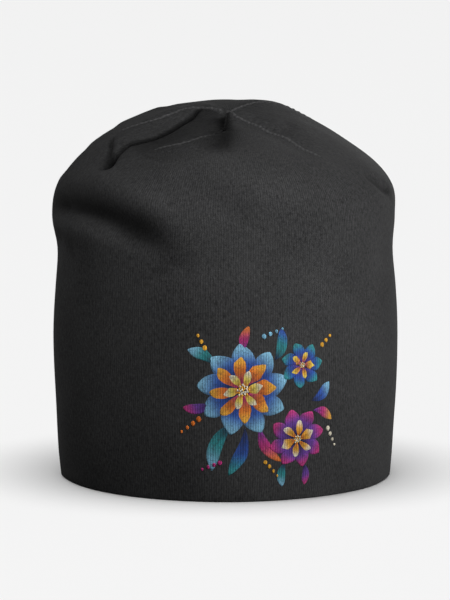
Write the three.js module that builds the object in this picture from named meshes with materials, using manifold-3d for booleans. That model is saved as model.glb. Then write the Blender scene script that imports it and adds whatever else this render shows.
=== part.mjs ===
// Jersey beanie: a slouched cap of double jersey, hollow, standing on its rim.
// Millimetres. +Z is up, the front faces -Y and +X is on the right of a front view.
// The origin is the middle of the rim, on the surface that the beanie stands on.

import * as THREE from 'three';
import * as BufferGeometryUtils from 'three/addons/utils/BufferGeometryUtils.js';
import Module from 'manifold-3d';

// Driving sizes
const capHeight = 185.7;
const capWidth = 171.8;
const capDepth = 193.6;
const clothThickness = 2.0;
const rimRound = 0.5;
const seamWidth = 2.4;
const seamHeight = 1.0;
const seamGap = 0.3;

// Fineness of the faceted surfaces
const columns = 74;
const wallRings = 9;
const crownRings = 23;
const seamSides = 8;
const seamStep = 5;
const seamSamples = 60;
const pathPieces = 5;
const foldEdge = 1.2;
const normalStep = 0.02;
const leastReach = 1e-4;
const weldDistance = 1e-5;

// The columns lie closer together round the bearing of the folds, in degrees
const foldsBearing = -40;
const crowding = 0.35;

// Rows of the table at which the rings of the wall start and end, and at which those of the crown start
const wallStart = 0.35;
const wallEnd = 5.4;
const crownStart = 6;

// A seam's ends narrow to the square root of this share, and widen with this slope
const seamTip = 0.45;
const seamTaper = 4;

// Sections of the cloth, from the rim to the point where the seams meet. frontHeight and backHeight tilt a
// section; right, left, front and back are reaches from the origin; middleX and middleY its centre; square
// is how full its corners are, 2 being an ellipse. The sizes are those of a cap 185.7 high, 171.8 wide and
// 193.6 deep, and are scaled to the driving sizes.
const tableSize = { height: 185.7, width: 171.8, depth: 193.6 };
const sectionColumns = [
  'frontHeight', 'backHeight', 'right', 'left', 'front', 'back', 'middleX', 'middleY', 'square',
];
const sectionTable = [
  [0, 0, 82.8, 81.8, 92.5, 94.0, 0, 0, 2.0],
  [18, 18, 84.4, 83.6, 94.6, 95.5, 0, 0, 2.05],
  [42, 42, 85.7, 84.9, 96.0, 96.5, 0, 0, 2.1],
  [70, 70, 86.2, 85.6, 96.6, 97.0, 0, 0, 2.15],
  [96, 96, 84.7, 84.6, 96.0, 96.5, 0, 0, 2.18],
  [114, 114, 83.3, 83.8, 95.0, 96.0, 0, 0, 2.2],
  [129, 131, 84.2, 86.2, 93.8, 96.0, 0, 0, 2.2],
  [142, 146, 83.6, 84.0, 91.0, 93.5, 0, 0, 2.15],
  [153, 159, 74.8, 75.8, 84.0, 88.0, 0, -0.5, 2.1],
  [161.5, 171, 59.4, 63.5, 73.0, 78.5, 0.2, -2, 2.05],
  [168.5, 179.5, 44.8, 48.4, 58.0, 63.0, 0.6, -4.5, 2.0],
  [174, 185, 31.2, 28.4, 42.0, 41.0, 1.6, -8, 2.0],
  [178.4, 185.6, 18.0, 11.2, 26.0, 14.0, 2.2, -11, 2.0],
  [181.5, 181.5, 1.5, -1.5, 12.0, -12.0, 1.5, -12, 2.0],
];

// Folds pressed into the cloth. rise is along the outward normal, so a negative one is a dent. above and
// below are the reaches to the two sides of the path, above being the right-hand side on the way along it
// from outside. lip raises the upper side as far as lipReach. fadeIn and fadeOut are shares of the length.
const folds = [
  {
    name: 'seam_nub',
    rise: 1.8, above: 3.0, below: 3.0, fadeIn: 0.1, fadeOut: 0.5,
    path: [[0, -12, 181.6], [1.9, -18.6, 180.1], [3.9, -23.2, 179.1]],
  },
  {
    name: 'peak_dimple',
    rise: -2.2, above: 7.0, below: 7.0, fadeIn: 0.25, fadeOut: 0.35,
    path: [[-1, -15, 181], [-4, -26, 178], [-6, -36, 176], [-4, -48, 172]],
  },
  {
    name: 'peak_crease',
    rise: -2.2, above: 4.0, below: 2.2, fadeIn: 0.2, fadeOut: 0.4,
    path: [[-1.5, -12.1, 181.7], [-0.3, -18.2, 180.2], [0.2, -27.1, 178.1], [0.3, -43.4, 173.6]],
  },
  {
    name: 'crown_hollow',
    rise: -1.3, above: 5.0, below: 7.0, fadeIn: 0.2, fadeOut: 0.35,
    path: [[-8, -12, 182], [-15, -30, 176], [-25, -42, 171], [-36, -48, 168], [-46, -52, 163]],
  },
  {
    name: 'under_seam',
    rise: -1.3, above: 4.0, below: 7.0, fadeIn: 0.2, fadeOut: 0.25,
    path: [[4, -54, 169], [-9, -58, 167], [-24, -58, 166], [-38, -57, 163], [-48, -59, 159]],
  },
  {
    name: 'right_seam_dip',
    rise: -2.0, above: 9.0, below: 8.0, fadeIn: 0.15, fadeOut: 0.3,
    path: [[6, -18, 180], [15, -30, 177], [26, -40, 172], [38, -47, 166], [50, -52, 160]],
  },
  {
    name: 'left_roll',
    rise: 2.2, above: 11.0, below: 7.0, fadeIn: 0.25, fadeOut: 0.25,
    path: [[-18, 8, 184], [-28, -12, 180], [-42, -24, 173], [-56, -30, 165], [-66, -38, 156]],
  },
  {
    name: 'left_valley',
    rise: -7.0, above: 5.5, below: 8.5, fadeIn: 0.25, fadeOut: 0.24,
    path: [
      [-87, -2, 135], [-81, -32, 136], [-69, -58, 135.5], [-56, -73, 133], [-43, -83, 128], [-31, -90, 123],
      [-21, -93, 119.5],
    ],
  },
  {
    name: 'left_ridge',
    rise: 2.6, above: 9.0, below: 6.0, fadeIn: 0.3, fadeOut: 0.3,
    path: [
      [-74, -38, 156], [-63, -56, 153], [-52, -71, 149], [-40, -81, 144], [-30, -87, 137], [-16, -93, 127],
    ],
  },
  {
    name: 'front_slant',
    rise: -1.3, above: 7.0, below: 7.0, fadeIn: 0.3, fadeOut: 0.3,
    path: [[-26, -75, 157], [-12, -84, 153], [5, -91, 142], [17, -92, 131]],
  },
  {
    name: 'low_dent',
    rise: -0.9, above: 5.0, below: 5.0, fadeIn: 0.3, fadeOut: 0.3,
    path: [[-37, -88, 108], [-31, -90, 111], [-24, -92, 114], [-11, -95, 111]],
  },
  {
    name: 'left_dent',
    rise: -1.6, above: 5.0, below: 6.0, fadeIn: 0.3, fadeOut: 0.3,
    path: [[-83, -18, 122], [-80, -35, 120], [-75, -47, 116], [-70, -58, 110]],
  },
  {
    name: 'right_dent',
    rise: -2.4, above: 4.0, below: 4.0, fadeIn: 0.3, fadeOut: 0.3,
    path: [[66, -45, 154], [72, -38, 151], [78, -33, 146], [82, -20, 143]],
  },
  {
    name: 'right_top',
    rise: -1.2, above: 4.5, below: 4.5, fadeIn: 0.3, fadeOut: 0.3,
    path: [[14, -28, 178], [22, -32, 176], [29, -30, 175], [36, -18, 176]],
  },
  {
    name: 'fold_line',
    rise: -1.8, above: 2.0, below: 8.0, lip: 0.7, lipReach: 6.0, fadeIn: 0.1, fadeOut: 0.06,
    path: [
      [-8.8, -5, 183.5], [-12.3, -7.8, 182.7], [-15.6, -16, 180.2], [-21.3, -24.4, 177.2],
      [-27.2, -32.4, 174.1], [-33.4, -37.4, 171.5], [-38.3, -38.7, 170], [-43.1, -38.4, 168.7],
      [-46.8, -38, 167.4], [-49.4, -39.8, 165.8], [-51.6, -42.3, 164], [-53.7, -44.3, 162.2],
      [-55.6, -46.4, 160.4], [-56.8, -51, 157.6],
    ],
  },
  {
    name: 'short_crease',
    rise: -1.8, above: 2.2, below: 2.5, fadeIn: 0.3, fadeOut: 0.1,
    path: [
      [-54.3, -20.6, 168.8], [-55.1, -27.3, 166.8], [-55.5, -33.8, 164.8], [-56.5, -38.2, 162.9],
      [-56.9, -44, 160.7], [-57.2, -50.5, 157.6],
    ],
  },
  {
    name: 'deep_spot',
    rise: -3.0, above: 3.0, below: 3.0, fadeIn: 0, fadeOut: 0,
    path: [[-56.2, -44, 161], [-57, -50, 157.9]],
  },
  {
    name: 'peak_slope',
    rise: -0.7, above: 9.0, below: 9.0, fadeIn: 0.2, fadeOut: 0.2,
    path: [[16, 29, 185.2], [6, 32.5, 185.7], [-8, 33.5, 185.3], [-18, 30, 184.2], [-26, 28, 182.5]],
  },
  {
    name: 'left_crest',
    rise: 0.9, above: 9.0, below: 9.0, fadeIn: 0.2, fadeOut: 0.2,
    path: [[-28, 28, 182], [-38, 27, 179], [-47, 23, 175.6], [-56, 18, 171]],
  },
  {
    name: 'left_shoulder',
    rise: -0.9, above: 9.0, below: 9.0, fadeIn: 0.2, fadeOut: 0.2,
    path: [[-66, 13, 165], [-75, 9, 156.5], [-82, 4, 146]],
  },
  {
    name: 'back_sag',
    rise: -2.5, above: 12.0, below: 12.0, fadeIn: 0.35, fadeOut: 0.35,
    path: [[-60, 74, 134], [-25, 90, 126], [15, 94, 128], [55, 80, 138]],
  },
];

// Dart seams of the crown. Each runs over the cloth through points given by their bearing in degrees
// (0 is the front, 90 the right) and their row in the table of sections.
const seams = [
  {
    name: 'crown_seam_front_right',
    bearings: [12, 24, 36.3, 40.8, 42.9, 42.9, 43.3, 44.3],
    rows: [12.7, 12.4, 12.02, 11.16, 10.46, 9.82, 9.37, 8.91],
  },
  {
    name: 'crown_seam_front_left',
    bearings: [-10, -9.5, -9, -10.5, -16.9, -22.2, -26.7, -32, -35.8],
    rows: [12.6, 12.0, 11.4, 10.92, 10.55, 10.17, 9.97, 9.78, 9.54],
  },
  {
    name: 'crown_seam_back_left',
    bearings: [-126, -118, -104.8, -82, -76.1, -72.2, -72.2, -74, -76],
    rows: [12.6, 12.2, 11.7, 11.24, 10.95, 10.7, 10.38, 10.06, 9.7],
  },
  {
    name: 'crown_seam_back_right',
    bearings: [139, 140, 136, 133, 132, 131],
    rows: [12.65, 12.0, 11.25, 10.5, 9.75, 9.0],
  },
];

const clothMaterial = new THREE.MeshStandardMaterial({ color: 0x37373a, roughness: 0.95, metalness: 0 });
const seamMaterial = new THREE.MeshStandardMaterial({ color: 0x48484b, roughness: 0.9, metalness: 0 });

// Values between the rows of a table, on a smooth curve through them
function throughRows(rows, at) {
  const last = rows.length - 1;
  const row = Math.min(Math.max(Math.floor(at), 0), last - 1);
  const share = at - row;
  const before = rows[Math.max(row - 1, 0)];
  const after = rows[Math.min(row + 2, last)];
  return rows[row].map((value, i) => {
    const next = rows[row + 1][i];
    const rise = next - before[i];
    const bend = 2 * before[i] - 5 * value + 4 * next - after[i];
    const twist = 3 * value - before[i] - 3 * next + after[i];
    return 0.5 * (2 * value + rise * share + bend * share ** 2 + twist * share ** 3);
  });
}

// The last row with a ring, just short of the point where the seams meet, and that point
const lastRow = sectionTable.length - 1.05;
const tip = new THREE.Vector3(...['middleX', 'middleY', 'frontHeight'].map(
  (column) => sectionTable.at(-1)[sectionColumns.indexOf(column)],
));

// A point of the cloth without its folds: a section is a superellipse of four quarters, tilted front to back
function formPoint(bearing, row) {
  const values = throughRows(sectionTable, row);
  const s = Object.fromEntries(sectionColumns.map((column, i) => [column, values[i]]));
  const side = Math.sin(bearing);
  const ahead = Math.cos(bearing);
  const halfWidth = Math.max(side > 0 ? s.right - s.middleX : s.left + s.middleX, leastReach);
  const halfDepth = Math.max(ahead > 0 ? s.front + s.middleY : s.back - s.middleY, leastReach);
  const across = (Math.abs(side) / halfWidth) ** s.square;
  const along = (Math.abs(ahead) / halfDepth) ** s.square;
  const reach = (across + along) ** (-1 / s.square);
  const height = (s.frontHeight + s.backHeight - (s.backHeight - s.frontHeight) * ahead) / 2;
  return new THREE.Vector3(
    (s.middleX + reach * side) * (capWidth / tableSize.width),
    (s.middleY - reach * ahead) * (capDepth / tableSize.depth),
    height * (capHeight / tableSize.height),
  );
}

// The outward direction of the cloth without its folds
function formNormal(bearing, row) {
  const right = formPoint(bearing + normalStep, row);
  const alongBearing = right.sub(formPoint(bearing - normalStep, row));
  const upper = formPoint(bearing, Math.min(row + normalStep, lastRow));
  const alongRow = upper.sub(formPoint(bearing, row - normalStep));
  return alongBearing.cross(alongRow).normalize();
}

function smoothStep(share) {
  const x = Math.min(Math.max(share, 0), 1);
  return x * x * (3 - 2 * x);
}

// A fold's path as short straight pieces on a smooth curve through its points
function pathPiecesOf(path) {
  const count = pathPieces * (path.length - 1);
  const points = [];
  for (let i = 0; i <= count; i += 1) {
    points.push(new THREE.Vector3(...throughRows(path, (i / count) * (path.length - 1))));
  }
  const pieces = [];
  let start = 0;
  for (let i = 0; i < count; i += 1) {
    const run = points[i + 1].clone().sub(points[i]);
    const length = run.length();
    pieces.push({ from: points[i], run: run.normalize(), length, start });
    start += length;
  }
  return { pieces, length: start };
}

const foldPaths = folds.map((fold) => pathPiecesOf(fold.path));

// How far all the folds lift the cloth at a point: each is a bell curve of the distance from its path,
// measured in the cloth, with its own reach on each side
function foldRise(point, normal) {
  let total = 0;
  folds.forEach((fold, k) => {
    let nearest = Infinity;
    let share = 0;
    let away = null;
    let run = null;
    for (const piece of foldPaths[k].pieces) {
      const offset = point.clone().sub(piece.from);
      const along = Math.min(Math.max(offset.dot(piece.run), 0), piece.length);
      offset.addScaledVector(piece.run, -along);
      if (offset.length() < nearest) {
        nearest = offset.length();
        share = (piece.start + along) / foldPaths[k].length;
        away = offset;
        run = piece.run;
      }
    }
    away.addScaledVector(normal, -away.dot(normal));
    const side = new THREE.Vector3().crossVectors(run, away).dot(normal);
    const upper = 0.5 * (1 - Math.tanh(side / foldEdge));
    const fadeIn = fold.fadeIn ? smoothStep(share / fold.fadeIn) : 1;
    const fadeOut = fold.fadeOut ? smoothStep((1 - share) / fold.fadeOut) : 1;
    const strength = fadeIn * fadeOut;
    const reach = fold.below + (fold.above - fold.below) * upper;
    total += fold.rise * strength * Math.exp(-((away.length() / reach) ** 2));
    if (fold.lip) {
      total += fold.lip * strength * upper * Math.exp(-((away.length() / fold.lipReach) ** 2));
    }
  });
  return total;
}

// A point of the folded cloth, lifted by an amount from its outer face
function clothPoint(bearing, row, lift) {
  const point = formPoint(bearing, row);
  const normal = formNormal(bearing, row);
  return point.addScaledVector(normal, foldRise(point, normal) + lift);
}

function tipPoint(lift) {
  const up = new THREE.Vector3(0, 0, 1);
  return tip.clone().addScaledVector(up, foldRise(tip, up) + lift);
}

function columnBearing(j) {
  const turn = (j / columns) * 2 * Math.PI;
  return turn - crowding * Math.sin(turn - THREE.MathUtils.degToRad(foldsBearing));
}

function spread(from, to, count) {
  return Array.from({ length: count }, (_, i) => from + ((to - from) * i) / (count - 1));
}

// Rows of the rings, from the rim upwards, and the row at the height where the rim's rounding starts
const ringRows = [...spread(wallStart, wallEnd, wallRings), ...spread(crownStart, lastRow, crownRings)];
const rimRow = rimRound / sectionTable[1][0];

function ring(row, lift) {
  return Array.from({ length: columns }, (_, j) => clothPoint(columnBearing(j), row, lift));
}

function flatRing(lift) {
  return ring(rimRow, lift).map((point) => point.setZ(0));
}

// A closed body from rings that run from one end point to the other, each ring with the same columns
function bodyFromRings(start, rings, end) {
  const points = [start, ...rings.flat(), end];
  const triangles = [];
  const at = (i, j) => 1 + i * columns + (j % columns);
  for (let j = 0; j < columns; j += 1) {
    triangles.push(0, at(0, j), at(0, j + 1));
    for (let i = 0; i < rings.length - 1; i += 1) {
      triangles.push(at(i, j), at(i + 1, j), at(i + 1, j + 1));
      triangles.push(at(i, j), at(i + 1, j + 1), at(i, j + 1));
    }
    triangles.push(points.length - 1, at(rings.length - 1, j + 1), at(rings.length - 1, j));
  }
  const geometry = new THREE.BufferGeometry();
  geometry.setAttribute('position', new THREE.Float32BufferAttribute(points.flatMap((p) => p.toArray()), 3));
  geometry.setIndex(triangles);
  return geometry;
}

// The cloth shell: down the outer face, round the folded rim and up the inner face
function shellGeometry() {
  const outer = ringRows.map((row) => ring(row, 0)).reverse();
  const inner = ringRows.map((row) => ring(row, -clothThickness));
  const rim = [
    ring(rimRow, 0),
    flatRing(-rimRound),
    flatRing(rimRound - clothThickness),
    ring(rimRow, -clothThickness),
  ];
  return bodyFromRings(tipPoint(0), [...outer, ...rim, ...inner], tipPoint(-clothThickness));
}

// The space that a seam must stay out of: the shell without its hollow, grown by the gap
function grownFormGeometry() {
  const outer = ringRows.map((row) => ring(row, seamGap)).reverse();
  const floor = new THREE.Vector3(0, 0, 0);
  return bodyFromRings(tipPoint(seamGap), [...outer, flatRing(seamGap)], floor);
}

// A seam's rounded strip along its path on the cloth, before the form is cut from it
function stripGeometry(seam) {
  const route = seam.bearings.map((bearing, i) => [bearing, seam.rows[i]]);
  const place = (at) => {
    const [bearing, row] = throughRows(route, at);
    return { bearing: THREE.MathUtils.degToRad(bearing), row };
  };
  const curvePoints = spread(0, route.length - 1, seamSamples).map((at) => {
    const { bearing, row } = place(at);
    return clothPoint(bearing, row, 0);
  });
  const curve = new THREE.CatmullRomCurve3(curvePoints);
  const steps = Math.round(curve.getLength() / seamStep);
  const points = [];
  for (let i = 0; i <= steps; i += 1) {
    const share = i / steps;
    const centre = curve.getPointAt(share);
    const run = curve.getTangentAt(share);
    const nearest = curvePoints.reduce(
      (best, point, k) => (point.distanceTo(centre) < curvePoints[best].distanceTo(centre) ? k : best),
      0,
    );
    const { bearing, row } = place((nearest / (curvePoints.length - 1)) * (route.length - 1));
    const across = formNormal(bearing, row).cross(run).normalize();
    const outward = run.clone().cross(across).normalize();
    const taper = Math.sqrt(Math.min(1, seamTip + seamTaper * Math.min(share, 1 - share)));
    for (let k = 0; k < seamSides; k += 1) {
      const turn = (k / seamSides) * 2 * Math.PI;
      points.push(
        centre.clone()
          .addScaledVector(across, (seamWidth / 2) * taper * Math.cos(turn))
          .addScaledVector(outward, seamGap + seamHeight * taper * Math.sin(turn)),
      );
    }
  }
  const triangles = [];
  const at = (i, k) => i * seamSides + (k % seamSides);
  for (let k = 0; k < seamSides; k += 1) {
    for (let i = 0; i < steps; i += 1) {
      triangles.push(at(i, k), at(i, k + 1), at(i + 1, k + 1));
      triangles.push(at(i, k), at(i + 1, k + 1), at(i + 1, k));
    }
    if (k > 1) {
      triangles.push(at(0, 0), at(0, k), at(0, k - 1));
      triangles.push(at(steps, 0), at(steps, k - 1), at(steps, k));
    }
  }
  const geometry = new THREE.BufferGeometry();
  geometry.setAttribute('position', new THREE.Float32BufferAttribute(points.flatMap((p) => p.toArray()), 3));
  geometry.setIndex(triangles);
  return geometry;
}

const wasm = await Module();
wasm.setup();

function solidOf(geometry) {
  const merged = BufferGeometryUtils.mergeVertices(geometry, weldDistance);
  return new wasm.Manifold(new wasm.Mesh({
    numProp: 3,
    vertProperties: new Float32Array(merged.getAttribute('position').array),
    triVerts: new Uint32Array(merged.getIndex().array),
  }));
}

function geometryOf(solid) {
  const mesh = solid.getMesh();
  const geometry = new THREE.BufferGeometry();
  geometry.setAttribute('position', new THREE.BufferAttribute(mesh.vertProperties, mesh.numProp));
  geometry.setIndex(new THREE.BufferAttribute(mesh.triVerts, 1));
  return geometry;
}

function namedMesh(name, geometry, material) {
  geometry.computeVertexNormals();
  const mesh = new THREE.Mesh(geometry, material);
  mesh.name = name;
  return mesh;
}

const beanie = new THREE.Group();
beanie.add(namedMesh('shell', shellGeometry(), clothMaterial));

const grownForm = solidOf(grownFormGeometry());
for (const seam of seams) {
  const strip = solidOf(stripGeometry(seam)).subtract(grownForm);
  beanie.add(namedMesh(seam.name, geometryOf(strip), seamMaterial));
}

export default beanie;
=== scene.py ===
import bpy
import numpy as np
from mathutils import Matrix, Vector


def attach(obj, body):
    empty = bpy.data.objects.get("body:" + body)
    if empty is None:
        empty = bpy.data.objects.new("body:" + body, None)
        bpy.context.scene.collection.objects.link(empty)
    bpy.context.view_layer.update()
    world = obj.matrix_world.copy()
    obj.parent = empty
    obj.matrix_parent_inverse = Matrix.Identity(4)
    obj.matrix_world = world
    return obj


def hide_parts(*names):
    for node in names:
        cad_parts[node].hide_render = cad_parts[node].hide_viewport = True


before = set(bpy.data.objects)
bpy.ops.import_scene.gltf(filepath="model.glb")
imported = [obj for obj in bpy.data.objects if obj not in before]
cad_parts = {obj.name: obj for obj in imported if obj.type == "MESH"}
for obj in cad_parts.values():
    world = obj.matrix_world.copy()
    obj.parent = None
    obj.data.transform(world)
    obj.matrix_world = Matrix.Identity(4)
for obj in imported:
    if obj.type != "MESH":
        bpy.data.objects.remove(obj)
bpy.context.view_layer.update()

mm = 0.001   # every form below is worked out in millimetres
print("frame loaded")

# The cap's cloth. A ring of it is a section of the table, from the rim at row 0 to the point where the
# crown seams meet at the last row. Bearings go round from the front, and are positive on the cap's +X side.
cap = dict(
    thickness=2.0,                # two layers of jersey
    columns=400,
    foldBearing=-40.0,            # the columns lie closer together round this bearing
    crowding=0.35,
    outerRings=[(0.06, 26), (5.2, 30), (8.2, 124), (12.4, 10), (12.95, 0)],   # row, rings up to the next
    innerRings=[(0.06, 10), (6.0, 24), (12.95, 0)],
    rimRings=7,
    edge=0.6,                     # mm over which one side of a fold passes into the other
    slotReach=0.85,
    least=1e-4,                   # mm, so that no section shrinks to nothing
    formStep=0.02,                # radians and rows over which the form's normals are taken
    clothStep=(0.012, 0.06),      # radians, and rows, over which the folded cloth's are
    pathSteps=6,                  # straight pieces from one point of a path to the next
    farOff=3,                     # reaches from a path at which it has no effect any more
)
sectionColumns = "frontHeight backHeight right left front back middleX middleY square".split()
sections = np.array([
    [0, 0, 82.8, 81.8, 92.5, 94.0, 0, 0, 2.0],
    [18, 18, 84.4, 83.6, 94.6, 95.5, 0, 0, 2.05],
    [42, 42, 85.7, 84.9, 96.0, 96.5, 0, 0, 2.1],
    [70, 70, 86.2, 85.6, 96.6, 97.0, 0, 0, 2.15],
    [96, 96, 84.7, 84.6, 96.0, 96.5, 0, 0, 2.18],
    [114, 114, 83.3, 83.8, 95.0, 96.0, 0, 0, 2.2],
    [129, 131, 84.2, 86.2, 93.8, 96.0, 0, 0, 2.2],
    [142, 146, 83.6, 84.0, 91.0, 93.5, 0, 0, 2.15],
    [153, 159, 74.8, 75.8, 84.0, 88.0, 0, -0.5, 2.1],
    [161.5, 171, 59.4, 63.5, 73.0, 78.5, 0.2, -2, 2.05],
    [168.5, 179.5, 44.8, 48.4, 58.0, 63.0, 0.6, -4.5, 2.0],
    [174, 185, 31.2, 28.4, 42.0, 41.0, 1.6, -8, 2.0],
    [178.4, 185.6, 18.0, 11.2, 26.0, 14.0, 2.2, -11, 2.0],
    [181.5, 181.5, 1.5, -1.5, 12.0, -12.0, 1.5, -12, 2.0],
])
lastRow = len(sections) - 1.05

# Folds of the cloth: rise in mm along the outward normal (a dent is below zero), reach above and below the
# path, lip that raises the upper side within its own reach, slot that cuts in narrowly along the path, and
# shares of the ends that fade. The upper side is on the right on the way along the path, from outside.
folds = {
    "seamNub": dict(rise=2.2, above=3.0, below=3.0, fade=(0.1, 0.5),
        path=[(0, -12, 181.6), (1.9, -18.6, 180.1), (3.9, -23.2, 179.1)]),
    "peakDimple": dict(rise=-2.2, above=7.0, below=7.0, fade=(0.25, 0.35),
        path=[(-1, -15, 181), (-4, -26, 178), (-6, -36, 176), (-4, -48, 172)]),
    "peakCrease": dict(rise=-1.8, above=4.0, below=1.8, slot=0.7, fade=(0.2, 0.4),
        path=[(-1.5, -12.1, 181.7), (-0.3, -18.2, 180.2), (0.2, -27.1, 178.1), (0.3, -43.4, 173.6)]),
    "crownHollow": dict(rise=-1.3, above=5.0, below=7.0, fade=(0.2, 0.35),
        path=[(-8, -12, 182), (-15, -30, 176), (-25, -42, 171), (-36, -48, 168), (-46, -52, 163)]),
    "underSeam": dict(rise=-1.3, above=4.0, below=7.0, fade=(0.2, 0.25),
        path=[(4, -54, 169), (-9, -58, 167), (-24, -58, 166), (-38, -57, 163), (-48, -59, 159)]),
    "rightSeamDip": dict(rise=-2.0, above=9.0, below=8.0, fade=(0.15, 0.3),
        path=[(6, -18, 180), (15, -30, 177), (26, -40, 172), (38, -47, 166), (50, -52, 160)]),
    "leftRoll": dict(rise=2.2, above=11.0, below=7.0, fade=(0.25, 0.25),
        path=[(-18, 8, 184), (-28, -12, 180), (-42, -24, 173), (-56, -30, 165), (-66, -38, 156)]),
    "leftValley": dict(rise=-7.0, above=5.5, below=8.5, fade=(0.25, 0.24),
        path=[(-87, -2, 135), (-81, -32, 136), (-69, -58, 135.5), (-56, -73, 133), (-43, -83, 128),
              (-31, -90, 123), (-21, -93, 119.5)]),
    "leftRidge": dict(rise=2.6, above=9.0, below=6.0, fade=(0.3, 0.3),
        path=[(-74, -38, 156), (-63, -56, 153), (-52, -71, 149), (-40, -81, 144), (-30, -87, 137),
              (-16, -93, 127)]),
    "frontSlant": dict(rise=-1.3, above=7.0, below=7.0, fade=(0.3, 0.3),
        path=[(-26, -75, 157), (-12, -84, 153), (5, -91, 142), (17, -92, 131)]),
    "lowDent": dict(rise=-0.9, above=5.0, below=5.0, fade=(0.3, 0.3),
        path=[(-37, -88, 108), (-31, -90, 111), (-24, -92, 114), (-11, -95, 111)]),
    "leftDent": dict(rise=-1.6, above=5.0, below=6.0, fade=(0.3, 0.3),
        path=[(-83, -18, 122), (-80, -35, 120), (-75, -47, 116), (-70, -58, 110)]),
    "rightDent": dict(rise=-2.4, above=4.0, below=4.0, fade=(0.3, 0.3),
        path=[(66, -45, 154), (72, -38, 151), (78, -33, 146), (82, -20, 143)]),
    "rightTop": dict(rise=-1.2, above=4.5, below=4.5, fade=(0.3, 0.3),
        path=[(14, -28, 178), (22, -32, 176), (29, -30, 175), (36, -18, 176)]),
    "foldLine": dict(rise=-1.0, above=1.4, below=8.0, lip=0.7, lipReach=6.0, slot=1.5, fade=(0.1, 0.06),
        path=[(-8.8, -5.0, 183.5), (-12.3, -7.8, 182.7), (-15.6, -16.0, 180.2), (-21.3, -24.4, 177.2),
              (-27.2, -32.4, 174.1), (-33.4, -37.4, 171.5), (-38.3, -38.7, 170.0), (-43.1, -38.4, 168.7),
              (-46.8, -38.0, 167.4), (-49.4, -39.8, 165.8), (-51.6, -42.3, 164.0), (-53.7, -44.3, 162.2),
              (-55.6, -46.4, 160.4), (-56.8, -51.0, 157.6)]),
    "shortCrease": dict(rise=-1.4, above=2.0, below=2.5, slot=1.5, fade=(0.3, 0.1),
        path=[(-54.3, -20.6, 168.8), (-55.1, -27.3, 166.8), (-55.5, -33.8, 164.8), (-56.5, -38.2, 162.9),
              (-56.8, -42.5, 161.3)]),
    "deepSpot": dict(rise=-3.0, above=3.0, below=3.0, path=[(-56.2, -44.0, 161.0), (-57.0, -50.0, 157.9)]),
    "peakSlope": dict(rise=-0.7, above=9.0, below=9.0, fade=(0.2, 0.2),
        path=[(16, 29, 185.2), (6, 32.5, 185.7), (-8, 33.5, 185.3), (-18, 30, 184.2), (-26, 28, 182.5)]),
    "leftCrest": dict(rise=0.9, above=9.0, below=9.0, fade=(0.2, 0.2),
        path=[(-28, 28, 182), (-38, 27, 179), (-47, 23, 175.6), (-56, 18, 171)]),
    "leftShoulder": dict(rise=-0.9, above=9.0, below=9.0, fade=(0.2, 0.2),
        path=[(-66, 13, 165), (-75, 9, 156.5), (-82, 4, 146)]),
    "backSag": dict(rise=-2.5, above=12.0, below=12.0, fade=(0.35, 0.35),
        path=[(-60, 74, 134), (-25, 90, 126), (15, 94, 128), (55, 80, 138)]),
}

# The four dart seams of the crown, each through points given by bearing in degrees and row of the table
seams = {
    "frontRight": dict(bearings=[8, 12, 24, 36.3, 40.8, 42.9, 42.9, 43.3, 44.3],
        rows=[12.92, 12.7, 12.4, 12.02, 11.16, 10.46, 9.82, 9.37, 8.91]),
    "frontLeft": dict(bearings=[-10, -10, -9.5, -9, -10.5, -16.9, -22.2, -26.7, -32, -35.8],
        rows=[12.92, 12.6, 12.0, 11.4, 10.92, 10.55, 10.17, 9.97, 9.78, 9.54]),
    "backLeft": dict(bearings=[-130, -126, -118, -104.8, -82, -76.1, -72.2, -72.2, -74, -76],
        rows=[12.92, 12.6, 12.2, 11.7, 11.24, 10.95, 10.70, 10.38, 10.06, 9.7]),
    "backRight": dict(bearings=[139, 139, 140, 136, 133, 132, 131],
        rows=[12.92, 12.65, 12.0, 11.25, 10.5, 9.75, 9.0]),
}

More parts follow.
